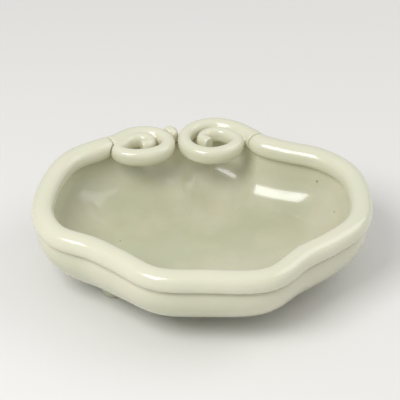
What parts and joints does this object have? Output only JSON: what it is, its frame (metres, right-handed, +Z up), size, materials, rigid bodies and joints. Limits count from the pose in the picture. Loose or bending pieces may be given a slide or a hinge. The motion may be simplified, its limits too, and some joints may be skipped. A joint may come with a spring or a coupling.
{
  "type": "ceramic brush washer",
  "caption": "Low lobed bowl for rinsing brushes, with a fat rolled rim that coils into scrolls at the back and short feet under it.",
  "frame": {"origin": "on the table under the middle of the washer's overall box", "axes": "+X across the washer to the right as seen from the front, +Y to the scrolls at the back, +Z up"},
  "size_m": [0.1748, 0.1464, 0.0461],
  "materials": {
    "bowl_body": "gloss",
    "rim_band": "gloss",
    "left_scroll": "gloss",
    "right_scroll": "gloss",
    "back_stem": "gloss",
    "foot_front_left": "gloss",
    "foot_front_right": "gloss",
    "foot_back_left": "gloss",
    "foot_back_right": "gloss"
  },
  "bodies": {
    "root": {"bowl_body": "bowl_body", "rim_band": "rim_band", "left_scroll": "left_scroll", "right_scroll": "right_scroll", "back_stem": "back_stem", "foot_front_left": "foot_front_left", "foot_front_right": "foot_front_right", "foot_back_left": "foot_back_left", "foot_back_right": "foot_back_right"}
  },
  "joints": []
}
